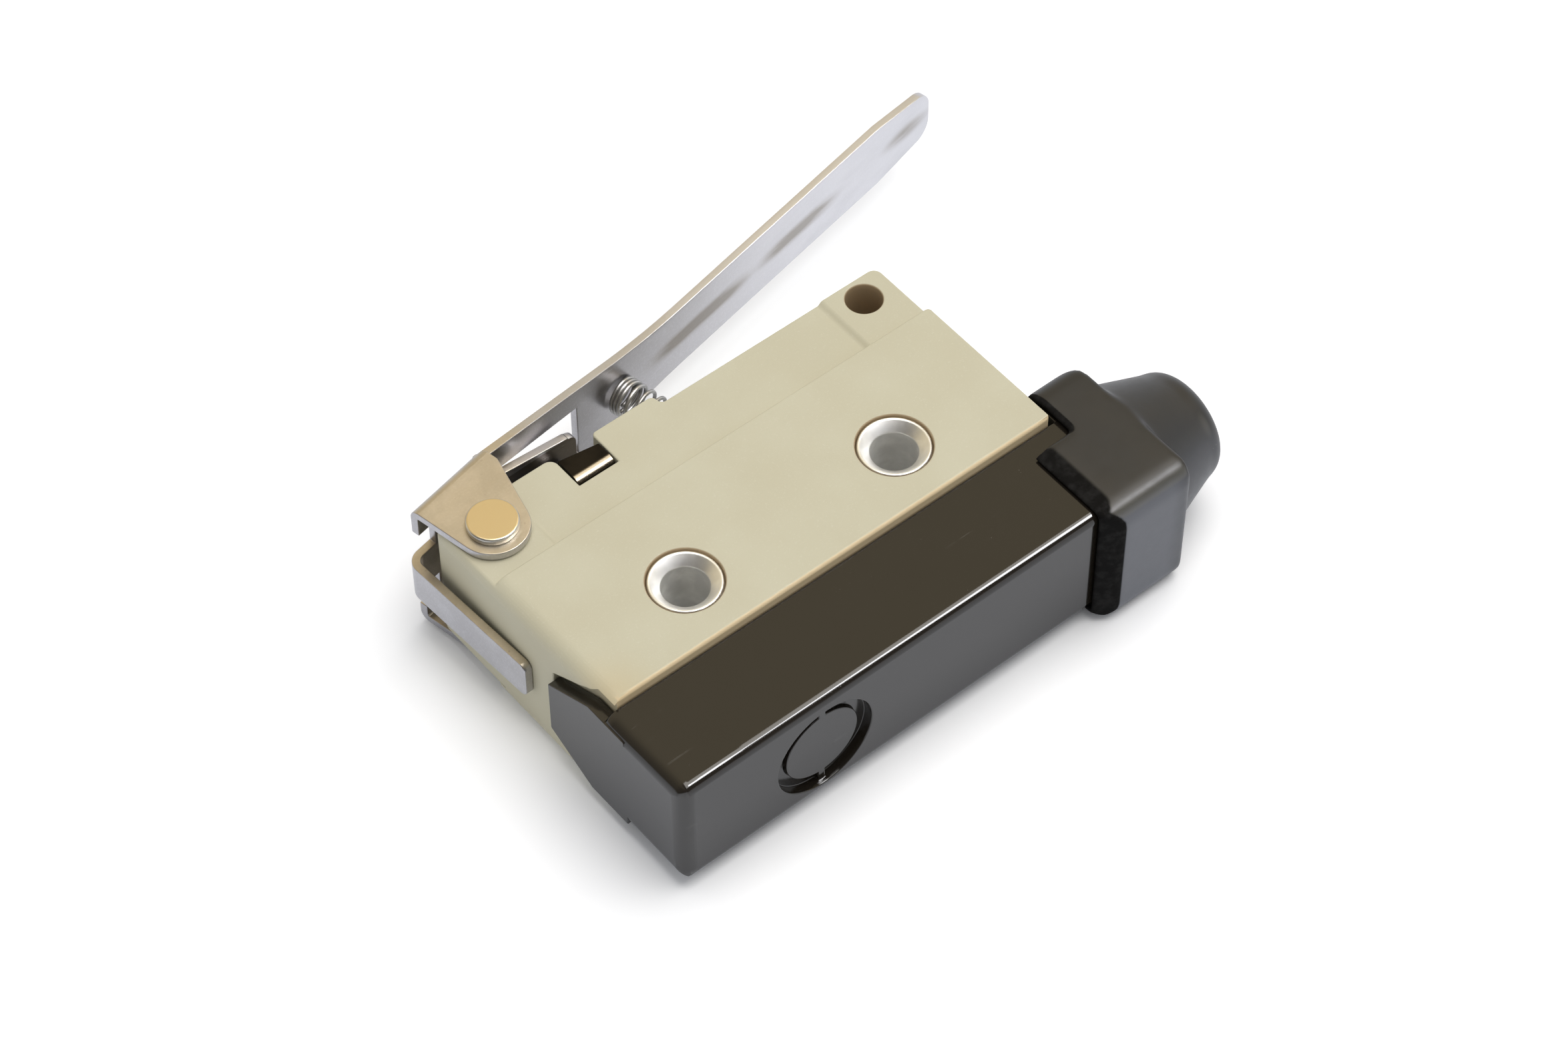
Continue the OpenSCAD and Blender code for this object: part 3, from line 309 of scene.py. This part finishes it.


# black rubber: a moulded skin with grey dust; its rim is matte and painted darker for its shade, its front greyed
# by a painted reflection, and a painted highlight runs along the upper edge
def bootRubber(spec):
    skin = Finish("bootRubber")
    lump = skin.noise(skin.place, 900.0, 4.0, 0.6)
    cloud = skin.noise(skin.place, 160.0, 3.0)
    dust = (1 - skin.cells(skin.place, spec["dust"]).above(0.03, 0.08)) * cloud.above(0.5, 0.65)
    east, north, up = skin.split(skin.facing)
    sleeveEnd, nozzleStart = spec["nozzle"]
    nozzle = skin.split(skin.place)[0].above(sleeveEnd * mm, nozzleStart * mm)
    frontSheen = (0 - north).above(0.6, 0.95) * (1 - nozzle * 0.6)  # painted reflection of the pale table on the front, weaker on the nozzle
    ridgeHighlight = (up * 0.72 - north * 0.69).above(0.93, 0.998)
    rim = (0 - east).above(0.07, 0.17)
    colour = skin.mix(cloud.above(0.3, 0.7), spec["black"], spec["brown"])
    colour = skin.mix(frontSheen * 0.8, colour, spec["paintedTableSheen"])
    # painted highlight along the upper edge, in the same grey as the dust
    colour = skin.mix(ridgeHighlight * 0.3, colour, spec["grey"])
    colour = skin.mix(dust * 0.5, colour, spec["grey"])
    rough = spec["rough"] + lump * 0.14 - ridgeHighlight * 0.06
    normal = skin.bump(lump + cloud * 2.0, 0.18, spec["relief"] * mm)
    values = {"Base Color": colour, "Roughness": rough, "IOR": 1.5, "Normal": normal}
    skinned = skin.node("ShaderNodeBsdfPrincipled", None, values)
    # the rim's cut face is matte, and its colour is painted darker for the shade it lies in
    cut = skin.mix(lump.above(0.4, 0.7), spec["paintedShadeBlack"], spec["black"])
    dullValues = {"Base Color": cut, "Roughness": 0.8, "Specular IOR Level": 0.1}
    dull = skin.node("ShaderNodeBsdfPrincipled", None, dullValues)
    both = skin.node("ShaderNodeMixShader", None, {0: rim, 1: skinned, 2: dull})
    skin.node("ShaderNodeOutputMaterial", None, {"Surface": both})
    return skin.material


bootSpec = {
    "voxel": 0.22, "smooth": 28,
    "dust": 1100.0, "rough": 0.30, "relief": 0.06, "nozzle": (30, 33),
    "black": tone(32, 31, 30), "brown": tone(38, 35, 31), "grey": tone(130, 128, 120),
    "paintedTableSheen": tone(102, 104, 110), "paintedShadeBlack": tone(14, 13, 12),
}


# rolled sheet: fine grain along the arm, paler towards its tip, smudges on its inner face, a tongue painted darker
# for the shade it lies in
def leverSteel(spec):
    skin = Finish("leverSteel")
    tilt = math.radians(spec["tilt"])
    turn = Matrix.Rotation(-tilt, 3, "Z")
    pivot = Vector(joints["lever_hinge"]["pos_m"])
    arm = skin.stretch(skin.place, (1, 1, 1), (0, 0, -tilt), tuple(turn @ -pivot))
    reach = skin.split(arm)[0]

    def past(key):  # 0 to 1 between two distances from the pivot
        start, end = spec[key]
        return reach.above(start * mm, end * mm)

    grain = skin.noise(skin.stretch(arm, (120, 2600, 2600)), 1.0, 3.0, 0.6)
    cloud = skin.noise(skin.stretch(arm, (160, 300, 420)), 1.0, 2.0)
    fleck = skin.noise(skin.stretch(arm, (90, 500, 700)), 1.0, 4.0, 0.65)
    colour = skin.mix(past("paleRun"), spec["near"], spec["far"])
    colour = skin.mix(cloud.above(0.4, 0.75) * 0.35, colour, spec["pale"])
    speck = skin.noise(skin.place, 4600.0, 2.0)
    colour = skin.mix(speck.above(0.45, 0.7) * 0.15, colour, spec["speck"])
    squeezed = skin.stretch(arm, (spec["smudgeShape"], 1, 1))
    core, fade = spec["smudgeWide"]
    smudge = 0.0
    for along in spec["smudges"]:
        spot = (along * mm * spec["smudgeShape"], spec["offset"] * mm, 0)
        smudge = smudge + (1 - skin.farFrom(squeezed, spot).above(core * mm, fade * mm))
    smudge = (smudge * (0.55 + fleck.above(0.34, 0.62) * 0.45)).clip()
    colour = skin.mix(smudge * 0.65, colour, spec["smudge"])
    aside = abs(skin.split(skin.place)[2] - spec["middle"] * mm)
    tongueSide, windowSide = spec["tongueHalf"]
    within = 1 - aside.above(tongueSide * mm, windowSide * mm)
    # painted shade: the tongue, tucked towards the case, is painted darker
    tongue = within * past("tongueRoot") * (1 - past("tongueTip"))
    colour = skin.mix(tongue * 0.8, colour, spec["tongue"])
    # faces turned up or down take a gold tint near the pivot: partly tarnish, partly a painted warm reflection
    top = abs(skin.split(skin.facing)[2]).above(0.5, 0.9)
    dots = skin.noise(skin.place, 1500.0, 2.0).above(0.70, 0.76)
    straw = skin.mix(skin.noise(skin.place, 380.0, 3.0).above(0.4, 0.65), spec["gold"], spec["straw"])
    tint = skin.mix(dots * 0.5, straw, spec["brown"])
    tint = skin.mix(past("strawRun"), tint, spec["rim"])
    tint = skin.mix(tongue, tint, spec["pale"])
    colour = skin.mix(top * (0.6 + tongue * 0.35), colour, tint)
    rough = spec["rough"] + grain * 0.12 + smudge * 0.15 + top * 0.08
    normal = skin.bump(grain, 0.06, spec["relief"] * mm)
    return skin.done({"Base Color": colour, "Roughness": rough, "Metallic": 1.0, "Normal": normal})


leverSpec = {
    "edge": 0.10, "steps": 2, "cuts": (6.6, 7.6, 14.8), "tilt": 11.27, "offset": 6.35,
    "taperEnd": 29.5, "taperRate": 0.1756, "blend": 5.5, "blendCuts": 8, "middle": 8.5, "half": 4.05,
    "rough": 0.24, "relief": 0.02,
    "near": tone(182, 180, 182), "far": tone(222, 221, 224), "paleRun": (18, 60),
    "pale": tone(206, 205, 208), "speck": tone(236, 236, 240),
    "tongue": tone(110, 100, 92), "tongueHalf": (3.55, 3.65), "tongueRoot": (4.5, 7), "tongueTip": (17, 17.3),
    "smudge": tone(150, 141, 128), "smudges": (33, 36, 39, 42, 50, 53, 56, 70.5),
    "smudgeShape": 0.3, "smudgeWide": (0.1, 1.5),
    "gold": tone(184, 170, 139), "straw": tone(201, 187, 158), "brown": tone(150, 122, 86),
    "rim": tone(198, 197, 199), "strawRun": (7, 14),
}


def plainMetal(name, spec):  # a metal with a fine grain and cloudy tarnish
    skin = Finish(name)
    grain = skin.noise(skin.place, 3200.0, 3.0, 0.6)
    cloud = skin.noise(skin.place, 420.0, 3.0)
    colour = skin.mix(cloud.above(0.35, 0.68), spec["dark"], spec["light"])
    colour = skin.mix(grain.above(0.58, 0.8) * 0.5, colour, spec["dark"])
    rough = spec["rough"] + grain * 0.14
    end = abs(skin.split(skin.facing)[2])
    if "face" in spec:  # another colour on the flat ends
        colour = skin.mix(end.above(0.8, 0.98), colour, spec["face"])
    if "bore" in spec:  # a duller wall inside
        rough = rough + (1 - end.above(0.1, 0.4)) * spec["bore"]
    if "bend" in spec:  # painted highlight: a brighter colour along the fold, to strengthen its shine
        turned = 0 - skin.split(skin.facing)[1]
        shinyFold = turned.above(0.02, 0.2) * (1 - turned.above(0.5, 0.85))
        colour = skin.mix(shinyFold, colour, spec["bend"])
    normal = skin.bump(grain, 0.08, 0.02 * mm)
    return skin.done({"Base Color": colour, "Roughness": rough, "Metallic": 1.0, "Normal": normal})


def plainResin(name, spec):  # an opaque moulding with a mottled tone
    skin = Finish(name)
    grain = skin.noise(skin.place, 2600.0, 3.0, 0.6)
    cloud = skin.noise(skin.place, 300.0, 3.0)
    colour = skin.mix(cloud.above(0.3, 0.7), spec["dark"], spec["light"])
    normal = skin.bump(grain, 0.15, 0.03 * mm)
    return skin.done({"Base Color": colour, "Roughness": spec["rough"] + grain * 0.15, "Normal": normal})


metalSpec = {
    "pinBrass": {
        "dark": tone(196, 193, 186), "light": tone(224, 222, 217), "face": tone(212, 193, 153), "rough": 0.28,
    },
    "eyeletSteel": {"dark": tone(228, 228, 226), "light": tone(245, 245, 243), "rough": 0.34, "bore": 0.28},
    "springSteel": {"dark": tone(168, 167, 165), "light": tone(212, 211, 210), "rough": 0.30},
    "saddleSteel": {
        "dark": tone(34, 32, 30), "light": tone(48, 45, 42), "bend": tone(128, 119, 103), "rough": 0.16,
    },
    "plungerSteel": {"dark": tone(150, 148, 146), "light": tone(184, 182, 180), "rough": 0.18},
    "bladeBronze": {"dark": tone(196, 158, 92), "light": tone(222, 184, 112), "rough": 0.24},
    "contactSilver": {"dark": tone(214, 214, 210), "light": tone(236, 236, 232), "rough": 0.22},
    "terminalBrass": {"dark": tone(196, 160, 88), "light": tone(220, 186, 106), "rough": 0.26},
    "screwSteel": {"dark": tone(190, 188, 180), "light": tone(214, 212, 204), "rough": 0.24},
}
resinSpec = {
    "baseResin": {"dark": tone(86, 52, 30), "light": tone(104, 64, 38), "rough": 0.42},
    "sealRubber": {"dark": tone(28, 28, 28), "light": tone(38, 37, 36), "rough": 0.5},
}


# geometry helpers
sameSpot = {  # points closer than this are one
    "copy": 0.0005 * mm, "spun": 0.001 * mm, "rounded": 0.002 * mm, "strip": 0.004 * mm, "facet": 0.015 * mm,
}
flatAngle = math.radians(0.5)  # faces this close to level are one
roundAngle = math.radians(40)  # edges over this are rounded
creaseAngle = math.radians(50)  # edges still over this after it stay crisp
strayShare = 0.6  # of the rounding; a corner further off the solid than this has slid
stripWidth = 0.8 * mm


def copyOf(node):
    bm = bmesh.new()
    bm.from_mesh(frame["nodes"][node].data)
    bmesh.ops.remove_doubles(bm, verts=bm.verts, dist=sameSpot["copy"])
    bmesh.ops.dissolve_degenerate(bm, edges=bm.edges, dist=sameSpot["rounded"])
    return bm


def isStrip(face, longest):  # one long thin facet of a curved face
    span = max(edge.calc_length() for edge in face.edges)
    return span > longest and face.calc_area() < span * stripWidth


def shorten(bm, longest):  # cuts long facets across, so that a rounded corner can't drag them
    margin = 0.02 * mm
    for axis in (0, 1, 2):
        way = Vector((0, 0, 0))
        way[axis] = 1
        spread = [vert.co[axis] for vert in bm.verts]
        count = math.ceil((max(spread) - min(spread)) / longest)
        for step in range(1, count):
            level = min(spread) + longest * step
            strips = []
            for face in bm.faces:
                ends = [vert.co[axis] for vert in face.verts]
                crosses = min(ends) < level - margin and max(ends) > level + margin
                if crosses and max(ends) - min(ends) > longest and isStrip(face, longest):
                    strips.append(face)
            sides = list({edge for face in strips for edge in face.edges})
            corners = list({vert for face in strips for vert in face.verts})
            bmesh.ops.bisect_plane(
                bm, geom=strips + sides + corners, dist=sameSpot["strip"], plane_co=way * level, plane_no=way,
            )


def armLine(spec):  # the lever's pivot and the way its arm runs
    along = Matrix.Rotation(math.radians(spec["tilt"]), 3, "Z") @ Vector((1, 0, 0))
    return Vector(joints["lever_hinge"]["pos_m"]), along


def cutAcross(bm, spec, reach):  # a ring of edges round the lever, at a distance from its pivot
    pivot, along = armLine(spec)
    place = pivot + along * reach * mm
    every = list(bm.verts) + list(bm.edges) + list(bm.faces)
    bmesh.ops.bisect_plane(bm, geom=every, dist=sameSpot["rounded"], plane_co=place, plane_no=along)


def softened(node, spec):  # a copy of a CAD node with its sharp edges rounded
    bm = copyOf(node)
    bmesh.ops.dissolve_limit(bm, angle_limit=flatAngle, verts=bm.verts, edges=bm.edges)
    if "facet" in spec:
        shorten(bm, spec["facet"] * mm)
        bmesh.ops.remove_doubles(bm, verts=bm.verts, dist=sameSpot["facet"])
    for cut in spec.get("cuts", ()):  # keeps the rounding of a crowded corner local
        cutAcross(bm, spec, cut)
    before = BVHTree.FromBMesh(bm)
    rounding = spec["edge"] * mm
    sharp = [edge for edge in bm.edges if edge.is_manifold and edge.calc_face_angle() > roundAngle]
    if "crisp" in spec:  # a corner where the rounding has no room
        right, back = [limit * mm for limit in spec["crisp"]]
        corner = {vert for vert in bm.verts if vert.co.x < right and vert.co.y < back}
        sharp = [edge for edge in sharp if not corner.issuperset(edge.verts)]
    bmesh.ops.bevel(
        bm, geom=sharp, offset=rounding, offset_type="OFFSET", segments=spec["steps"],
        profile=0.5, affect="EDGES", material=-1, clamp_overlap=False,
    )
    strays = 0
    for vert in bm.verts:  # a corner that slid off the solid goes back onto it
        place, normal, face, gap = before.find_nearest(vert.co)
        if gap > strayShare * rounding:
            vert.co = place
            strays += 1
    bmesh.ops.remove_doubles(bm, verts=bm.verts, dist=sameSpot["rounded"])
    bmesh.ops.dissolve_degenerate(bm, edges=bm.edges, dist=sameSpot["rounded"])
    for edge in bm.edges:
        if edge.is_manifold and edge.calc_face_angle() > creaseAngle:
            edge.smooth = False
    print(node, "rounded,", strays, "corners put back")
    return bm


def settle(bm, name, node, material):  # the finished piece takes the node's body, and the node is hidden
    mesh = bpy.data.meshes.new(name)
    bm.to_mesh(mesh)
    bm.free()
    mesh.polygons.foreach_set("use_smooth", [True] * len(mesh.polygons))
    mesh.materials.clear()
    mesh.materials.append(material)
    piece = bpy.data.objects.new(name, mesh)
    bpy.context.scene.collection.objects.link(piece)
    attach(piece, bodyOf[node])
    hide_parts(node)
    return piece


def flatten(piece):  # keeps broad faces flat beside their rounded edges
    weigh = piece.modifiers.new("weigh", "WEIGHTED_NORMAL")
    weigh.mode = "FACE_AREA_WITH_ANGLE"
    weigh.weight = 50
    weigh.keep_sharp = True


bodyOf = {node: body for body, nodes in frame["record"]["behaviour"]["bodies"].items() for node in nodes}

bpy.context.scene.view_settings.view_transform = "Standard"
makeCamera(cameraSpec)
makeLight(lightSpec)
print("camera and light ready")

metals = {name: plainMetal(name, spec) for name, spec in metalSpec.items()}
resins = {name: plainResin(name, spec) for name, spec in resinSpec.items()}


def slopePads(bm, spec):  # the pads' inner edges slope a little
    for vert in bm.verts:
        rise = vert.co.z - spec["stripTop"] * mm
        beside = abs(abs(vert.co.x) - spec["padIn"] * mm) < spec["padNear"] * mm
        if beside and vert.co.y > spec["blockHigh"] * mm and 0 < rise < spec["padHigh"] * mm:
            vert.co.x += math.copysign(rise * spec["padLean"], vert.co.x)


caseMesh = softened("case", caseSpec)
slopePads(caseMesh, caseSpec)
flatten(settle(caseMesh, "caseShell", "case", casePlastic(caseSpec)))
coverMesh = softened("terminal_cover", coverSpec)
flatten(settle(coverMesh, "coverShell", "terminal_cover", coverPlastic(coverSpec)))


def easeTaper(bm, spec):  # the arm's sides run into its taper in a curve
    pivot, along = armLine(spec)
    count = spec["blendCuts"]
    for step in range(-count, count + 1):
        cutAcross(bm, spec, spec["taperEnd"] + spec["blend"] * step / count)
    for vert in bm.verts:
        off = abs((vert.co - pivot).dot(along) / mm - spec["taperEnd"])
        if off < spec["blend"]:
            wider = spec["taperRate"] / (4 * spec["blend"]) * (spec["blend"] - off) ** 2
            middle = spec["middle"] * mm
            vert.co.z = middle + (vert.co.z - middle) * (1 + wider / spec["half"])


leverMesh = softened("lever", leverSpec)
easeTaper(leverMesh, leverSpec)
flatten(settle(leverMesh, "leverSheet", "lever", leverSteel(leverSpec)))
print("case, cover and lever ready")


# rubber boot: the node's form with every edge run together, as moulded rubber has them
def makeBoot(spec):
    boot = settle(copyOf("cable_boot"), "bootSleeve", "cable_boot", bootRubber(spec))
    block = boot.modifiers.new("melt", "REMESH")
    block.mode = "VOXEL"
    block.voxel_size = spec["voxel"] * mm
    block.use_smooth_shade = True
    ease = boot.modifiers.new("ease", "SMOOTH")
    ease.factor = 0.5
    ease.iterations = spec["smooth"]


makeBoot(bootSpec)
print("boot ready")


# round wire wound along an axis, in runs of turns with their own rise
def makeCoil(spec, name, node, material):
    low, high = Vector(spec["low"]) * mm, Vector(spec["high"]) * mm
    wire = spec["wire"] * mm
    bm = bmesh.new()
    ring = bmesh.ops.create_circle(bm, segments=spec["sides"], radius=wire / 2)["verts"]
    bmesh.ops.rotate(bm, verts=ring, cent=(0, 0, 0), matrix=Matrix.Rotation(math.radians(90), 3, "X"))
    bmesh.ops.translate(bm, verts=ring, vec=(spec["radius"] * mm, 0, 0))
    rim = list(bm.edges)
    ends = [rim]
    scale = (high - low).length / sum(rise for turns, rise in spec["runs"])
    for turns, rise in spec["runs"]:
        steps = round(turns * spec["perTurn"])
        wound = bmesh.ops.spin(
            bm, geom=rim, cent=(0, 0, 0), axis=(0, 0, 1), angle=math.tau * turns, steps=steps,
            dvec=(0, 0, rise * scale / steps),
        )
        rim = [part for part in wound["geom_last"] if isinstance(part, bmesh.types.BMEdge)]
    ends.append(rim)
    for loop in ends:
        bmesh.ops.contextual_create(bm, geom=loop)
    bmesh.ops.remove_doubles(bm, verts=bm.verts, dist=sameSpot["spun"])
    bmesh.ops.recalc_face_normals(bm, faces=bm.faces)
    upright = (high - low).to_track_quat("Z", "X").to_matrix()
    bmesh.ops.rotate(bm, verts=bm.verts, cent=(0, 0, 0), matrix=upright)
    bmesh.ops.translate(bm, verts=bm.verts, vec=low)
    return settle(bm, name, node, material)


returnSpec = {
    "low": (2.291, 19.447, 8.5), "high": (0.747, 27.197, 8.5), "radius": 1.9, "wire": 0.4,
    "runs": ((1, 0.43), (1, 1.60), (1, 1.50), (1, 1.35), (1, 1.15), (0.5, 0.57), (3, 1.29)),
    "sides": 12, "perTurn": 36, "keep": 0.38,
}
returnCoil = makeCoil(returnSpec, "returnCoil", "return_spring", metals["springSteel"])
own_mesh(returnCoil)

overSpec = {
    "low": (-10.55, 8.05, 8.5), "high": (-10.55, 12.4, 8.5), "seat": (-10.55, 7.85, 8.5),
    "radius": 1.5, "wire": 0.4,
    "runs": ((1, 0.432), (2.5, 3.486), (1, 0.432)), "sides": 12, "perTurn": 36, "keep": 0.6,
}
overCoil = makeCoil(overSpec, "overtravelCoil", "overtravel_spring", metals["springSteel"])
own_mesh(overCoil)
print("springs ready")


# eyelet: a tube with a lip at each end, spun from its section (radius, height, rounding)
def makeEyelet(spec, name, node, middle, material):
    bm = bmesh.new()
    corners = []
    for radius, height, soft in spec["section"]:
        corners.append(bm.verts.new((middle + radius * mm, 0, height * mm)))
    rim = [bm.edges.new(pair) for pair in zip(corners, corners[1:] + corners[:1])]
    bmesh.ops.spin(
        bm, geom=corners + rim, cent=(middle, 0, 0), axis=(0, 0, 1),
        angle=math.tau, steps=spec["steps"], use_merge=True,
    )
    near = sameSpot["spun"]
    bmesh.ops.remove_doubles(bm, verts=bm.verts, dist=near)
    bmesh.ops.recalc_face_normals(bm, faces=bm.faces)
    axis = Vector((middle, 0, 0))
    for radius, height, soft in spec["section"]:
        hoop = []
        for edge in bm.edges:
            level = [abs(vert.co.z - height * mm) < near for vert in edge.verts]
            out = [abs((vert.co - axis).xy.length - radius * mm) < near for vert in edge.verts]
            if all(level) and all(out):
                hoop.append(edge)
        bmesh.ops.bevel(
            bm, geom=hoop, offset=soft * mm, offset_type="OFFSET", segments=spec["rounding"],
            profile=0.5, affect="EDGES", material=-1, clamp_overlap=False,
        )
    return settle(bm, name, node, material)


eyeletSpec = {
    "apart": 25.4, "steps": 96, "rounding": 4,
    "section": (
        (3.62, 16.85, 0.17), (3.33, 16.85, 0.11), (2.35, 16.02, 0.10), (2.35, 0.15, 0.17),
        (3.62, 0.15, 0.17), (3.62, 0.85, 0.05), (2.90, 0.85, 0.05), (2.90, 16.15, 0.05), (3.62, 16.15, 0.05),
    ),
}
for name, node, side in (("eyeletLeft", "eyelet_left", -1), ("eyeletRight", "eyelet_right", 1)):
    middle = side * eyeletSpec["apart"] / 2 * mm
    flatten(makeEyelet(eyeletSpec, name, node, middle, metals["eyeletSteel"]))
print("eyelets ready")


# small metal pieces, each with its edges just broken
smallSpec = {
    "hinge_pin": {"name": "hingeRivet", "finish": "pinBrass", "edge": 0.06, "steps": 2},
    "guide_saddle": {"name": "saddleChannel", "finish": "saddleSteel", "edge": 0.06, "steps": 2},
    "plunger": {"name": "plungerRod", "finish": "plungerSteel", "edge": 0.05, "steps": 2},
}
for node, spec in smallSpec.items():
    flatten(settle(softened(node, spec), spec["name"], node, metals[spec["finish"]]))
print("small metal pieces ready")

nodeFinish = {
    "plunger_seal": resins["sealRubber"], "drive_button": resins["baseResin"],
    "moving_blade": metals["bladeBronze"], "snap_spring": metals["springSteel"],
    "moving_contact": metals["contactSilver"], "closed_contact": metals["contactSilver"],
    "open_contact": metals["contactSilver"], "common_terminal": metals["terminalBrass"],
    "closed_terminal": metals["terminalBrass"], "open_terminal": metals["terminalBrass"],
    "terminal_base": resins["baseResin"], "terminal_screws": metals["screwSteel"],
}
for node, material in nodeFinish.items():
    mesh = frame["nodes"][node].data
    mesh.materials.clear()
    mesh.materials.append(material)
print("inner pieces ready")
